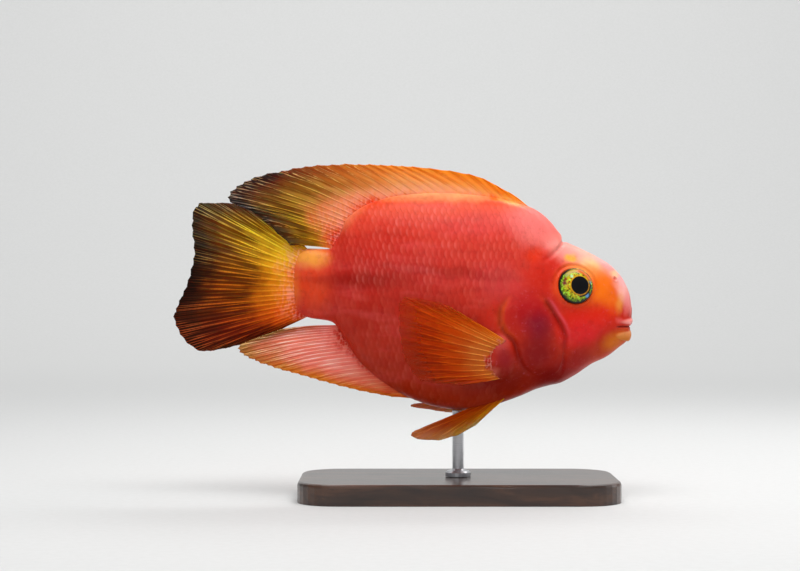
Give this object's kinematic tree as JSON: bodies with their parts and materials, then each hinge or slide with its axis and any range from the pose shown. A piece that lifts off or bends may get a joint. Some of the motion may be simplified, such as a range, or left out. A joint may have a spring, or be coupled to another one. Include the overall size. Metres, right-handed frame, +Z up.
{
  "type": "blood parrot cichlid",
  "caption": "Life-size still model of a deep-bodied aquarium cichlid with fan tail and ridged fin rays, swimming nose slightly down on a plain flat base with one short rod.",
  "frame": {"origin": "middle of the underside of the stand's base, below the belly", "axes": "+X towards the head, +Y to the fish's left side, +Z up; the right side faces -Y"},
  "size_m": [0.1799, 0.066, 0.1306],
  "materials": {
    "skin": "moist scaled skin, satin to gloss",
    "gill_cover": "moist skin over the gill cover, gloss",
    "lips": "moist lip skin, gloss",
    "fins": "thin ribbed membrane, translucent in life",
    "eyes": "wet polished cornea",
    "base": "dark stained, satin lacquer",
    "rod": "brushed"
  },
  "bodies": {
    "root": {"head": "skin", "torso": "skin", "tail_stalk": "skin", "gill_cover_left": "gill_cover", "gill_cover_right": "gill_cover", "lower_jaw": "lips", "upper_lip": "lips", "eye_left": "eyes", "eye_right": "eyes", "stand_base": "base", "stand_rod": "rod", "dorsal_fin": "fins", "anal_fin": "fins", "caudal_fin": "fins", "pectoral_fin_left": "fins", "pectoral_fin_right": "fins", "pelvic_fin_left": "fins", "pelvic_fin_right": "fins"}
  },
  "joints": []
}
